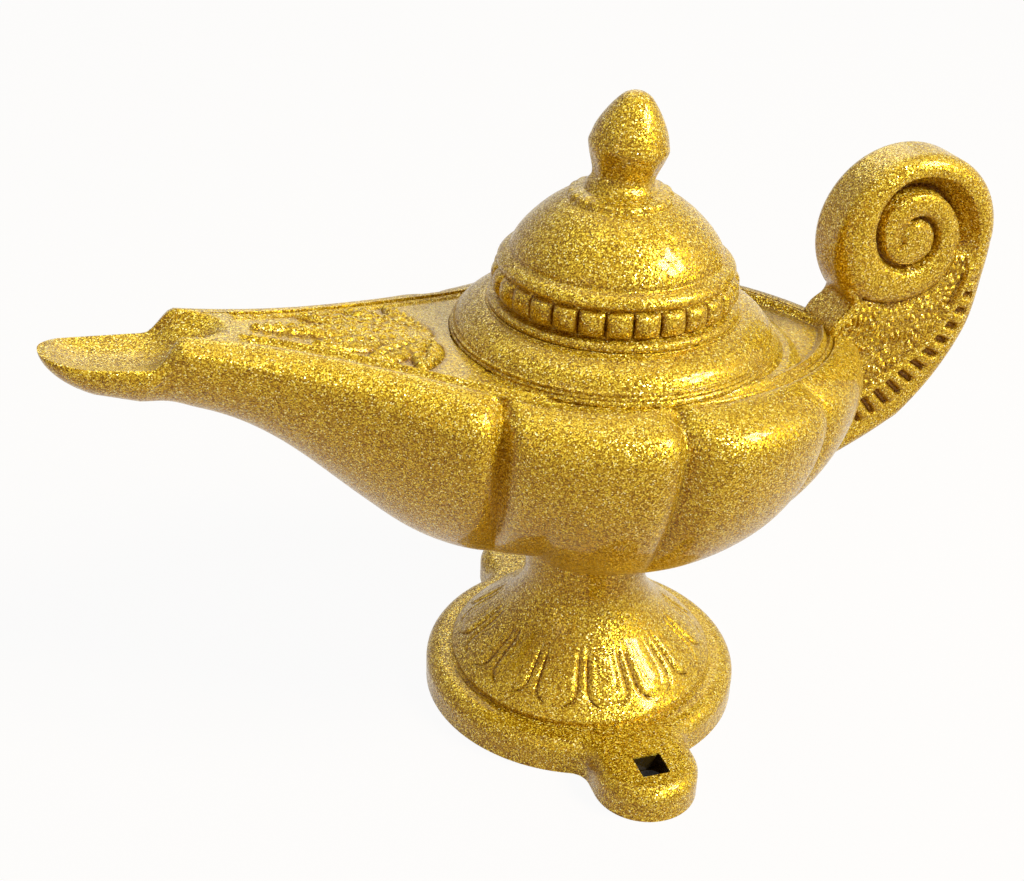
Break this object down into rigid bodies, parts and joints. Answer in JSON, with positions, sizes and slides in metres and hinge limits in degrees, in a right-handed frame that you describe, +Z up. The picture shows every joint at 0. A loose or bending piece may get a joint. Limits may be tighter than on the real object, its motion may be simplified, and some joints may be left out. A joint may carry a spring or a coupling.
{
  "type": "genie oil lamp",
  "caption": "Fluted genie-style oil lamp with a long dished spout, scroll handle, beaded lift-off domed lid and a round pedestal foot with bolt lugs, in gold glitter finish.",
  "frame": {"origin": "foot axis on the underside of the foot, midway between the two lug holes", "axes": "+X toward the handle, -X toward the spout, Y through the two bolt lugs, +Z up"},
  "size_m": [0.1786, 0.093, 0.1245],
  "materials": {
    "gold_glitter": "gold glitter flakes under a clear gloss coat",
    "zinc_steel": "bright zinc"
  },
  "bodies": {
    "lamp": {"foot_plate": "gold_glitter", "pedestal": "gold_glitter", "bowl": "gold_glitter", "deck": "gold_glitter", "collar": "gold_glitter", "handle": "gold_glitter", "tie_bolt": "zinc_steel", "foot_washer": "zinc_steel", "bowl_washer": "zinc_steel", "bowl_nut": "zinc_steel", "foot_dowels": "zinc_steel", "bowl_dowels": "zinc_steel", "handle_screws": "zinc_steel", "handle_washers": "zinc_steel"},
    "lid": {"lid": "gold_glitter", "finial": "gold_glitter", "finial_screw": "zinc_steel", "finial_washer": "zinc_steel"}
  },
  "joints": [
    {"name": "lid_lift", "type": "slide", "parent": "lamp", "child": "lid", "axis": [0, 0, 1], "range_m": [0, 0.06]}
  ]
}
